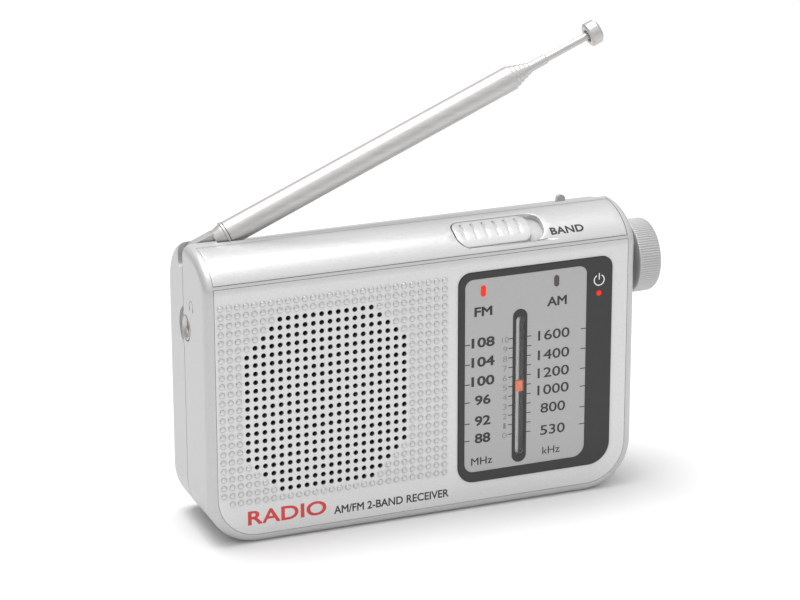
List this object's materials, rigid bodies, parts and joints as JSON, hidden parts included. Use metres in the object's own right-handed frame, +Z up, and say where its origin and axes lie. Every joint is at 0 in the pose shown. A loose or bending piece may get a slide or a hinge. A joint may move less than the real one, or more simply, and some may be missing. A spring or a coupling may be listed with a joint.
{
  "type": "transistor pocket radio",
  "caption": "Two-band pocket radio: perforated speaker panel, tall tuning dial with sliding pointer, ribbed knob on the side, band slider on top and folding telescopic antenna.",
  "frame": {"origin": "centre of the flat underside of the case", "axes": "+X along the front from left to right, +Y from the front to the back, +Z up"},
  "size_m": [0.129, 0.0315, 0.1252],
  "materials": {
    "silver_plastic": "silver-sprayed moulded plastic",
    "panel_silver": "satin silver-sprayed plastic",
    "knob_silver": "silver-sprayed ribbed plastic",
    "cloth_black": "black open-weave cloth",
    "dial_charcoal": "glossy charcoal",
    "dial_silver": "silver back-printed dial",
    "clear_window": "clear plastic",
    "lamp_red": "red lens",
    "lamp_dark": "dark lens",
    "steel": "plated steel",
    "chrome": "nickel-chrome plating on brass",
    "aluminium": "bare drawn can",
    "brass": "spring brass",
    "copper": "enamelled copper wire",
    "white_plastic": "natural moulded plastic",
    "black_plastic": "black moulded plastic",
    "pointer_orange": "orange plastic",
    "cord_thread": "braided dial cord",
    "paper": "felted paper",
    "board": "phenolic paper board",
    "blue_sleeve": "blue sleeve",
    "ferrite": "bare ferrite",
    "cell_jacket": "plain printed jacket"
  },
  "bodies": {
    "case": {"front_case": "silver_plastic", "rear_case": "silver_plastic", "front_plate": "panel_silver", "top_plate": "panel_silver", "grille_cloth": "cloth_black", "dial_bezel": "dial_charcoal", "dial_plate": "dial_silver", "dial_window": "clear_window", "fm_indicator": "lamp_red", "am_indicator": "lamp_dark", "power_lamp": "lamp_red", "variable_capacitor": "white_plastic", "capacitor_bracket": "steel", "pointer_rail": "steel", "dial_cord": "cord_thread", "idler_pin": "steel", "band_switch": "steel", "speaker_frame": "steel", "speaker_cone": "paper", "speaker_magnet": "steel", "speaker_clamps": "steel", "circuit_board": "board", "board_screws": "steel", "if_cans": "aluminium", "receiver_chip": "black_plastic", "electrolytic_capacitors": "blue_sleeve", "small_parts": "paper", "ferrite_rod": "ferrite", "antenna_coil": "copper", "ferrite_holders": "white_plastic", "volume_control": "black_plastic", "headphone_jack": "black_plastic", "jack_ring": "chrome", "battery_cells": "cell_jacket", "battery_plates": "steel", "battery_springs": "steel", "case_screws": "steel", "antenna_pin": "steel", "antenna_contact": "brass", "antenna_clip": "silver_plastic"},
    "tuning": {"tuning_shaft": "steel", "tuning_knob": "knob_silver", "dial_drum": "white_plastic"},
    "pointer_slide": {"pointer_carriage": "black_plastic", "pointer": "pointer_orange"},
    "idler": {"idler_pulley": "white_plastic"},
    "band": {"band_slider": "panel_silver", "switch_lever": "black_plastic"},
    "volume": {"volume_wheel": "knob_silver"},
    "door": {"battery_door": "silver_plastic"},
    "antenna_base": {"antenna_plug": "chrome", "antenna_collar": "chrome", "antenna_tube": "chrome"},
    "antenna_2": {"antenna_section_2": "chrome"},
    "antenna_3": {"antenna_section_3": "chrome"},
    "antenna_4": {"antenna_section_4": "chrome"},
    "antenna_5": {"antenna_section_5": "chrome"},
    "antenna_6": {"antenna_section_6": "chrome"},
    "antenna_tip": {"antenna_rod": "chrome", "antenna_cap": "chrome"}
  },
  "joints": [
    {"name": "tuning_spin", "type": "hinge", "parent": "case", "child": "tuning", "pos_m": [0, -0.0043, 0.0616], "axis": [1, 0, 0], "range_deg": [-93, 86]},
    {"name": "pointer_travel", "type": "slide", "parent": "case", "child": "pointer_slide", "axis": [0, 0, 1], "range_m": [-0.01305, 0.01405]},
    {"name": "idler_spin", "type": "hinge", "parent": "case", "child": "idler", "pos_m": [0.019, -0.0104, 0.014], "axis": [1, 0, 0], "range_deg": [-325, 300]},
    {"name": "band_travel", "type": "slide", "parent": "case", "child": "band", "axis": [1, 0, 0], "range_m": [0, 0.0033]},
    {"name": "volume_spin", "type": "hinge", "parent": "case", "child": "volume", "pos_m": [0.053, 0.01, 0.044], "axis": [0, 1, 0], "range_deg": [0, 290]},
    {"name": "door_swing", "type": "hinge", "parent": "case", "child": "door", "pos_m": [0.0235, 0.0146, 0.004], "axis": [-1, 0, 0], "range_deg": [0, 95]},
    {"name": "antenna_fold", "type": "hinge", "parent": "case", "child": "antenna_base", "pos_m": [-0.0557, 0.0043, 0.07476], "axis": [0, -1, 0], "range_deg": [-22.9, 157.1]},
    {"name": "antenna_slide_2", "type": "slide", "parent": "antenna_base", "child": "antenna_2", "axis": [0.9212, 0, 0.3891], "range_m": [0, 0.074]},
    {"name": "antenna_slide_3", "type": "slide", "parent": "antenna_2", "child": "antenna_3", "axis": [0.9212, 0, 0.3891], "range_m": [0, 0.074]},
    {"name": "antenna_slide_4", "type": "slide", "parent": "antenna_3", "child": "antenna_4", "axis": [0.9212, 0, 0.3891], "range_m": [0, 0.074]},
    {"name": "antenna_slide_5", "type": "slide", "parent": "antenna_4", "child": "antenna_5", "axis": [0.9212, 0, 0.3891], "range_m": [0, 0.074]},
    {"name": "antenna_slide_6", "type": "slide", "parent": "antenna_5", "child": "antenna_6", "axis": [0.9212, 0, 0.3891], "range_m": [-0.0038, 0.07]},
    {"name": "antenna_slide_tip", "type": "slide", "parent": "antenna_6", "child": "antenna_tip", "axis": [0.9212, 0, 0.3891], "range_m": [-0.0116, 0.055]}
  ],
  "couplings": [
    {"joint": "pointer_travel", "follows": "tuning_spin", "m_per_rad": -0.0086},
    {"joint": "idler_spin", "follows": "tuning_spin", "ratio": 3.44}
  ]
}
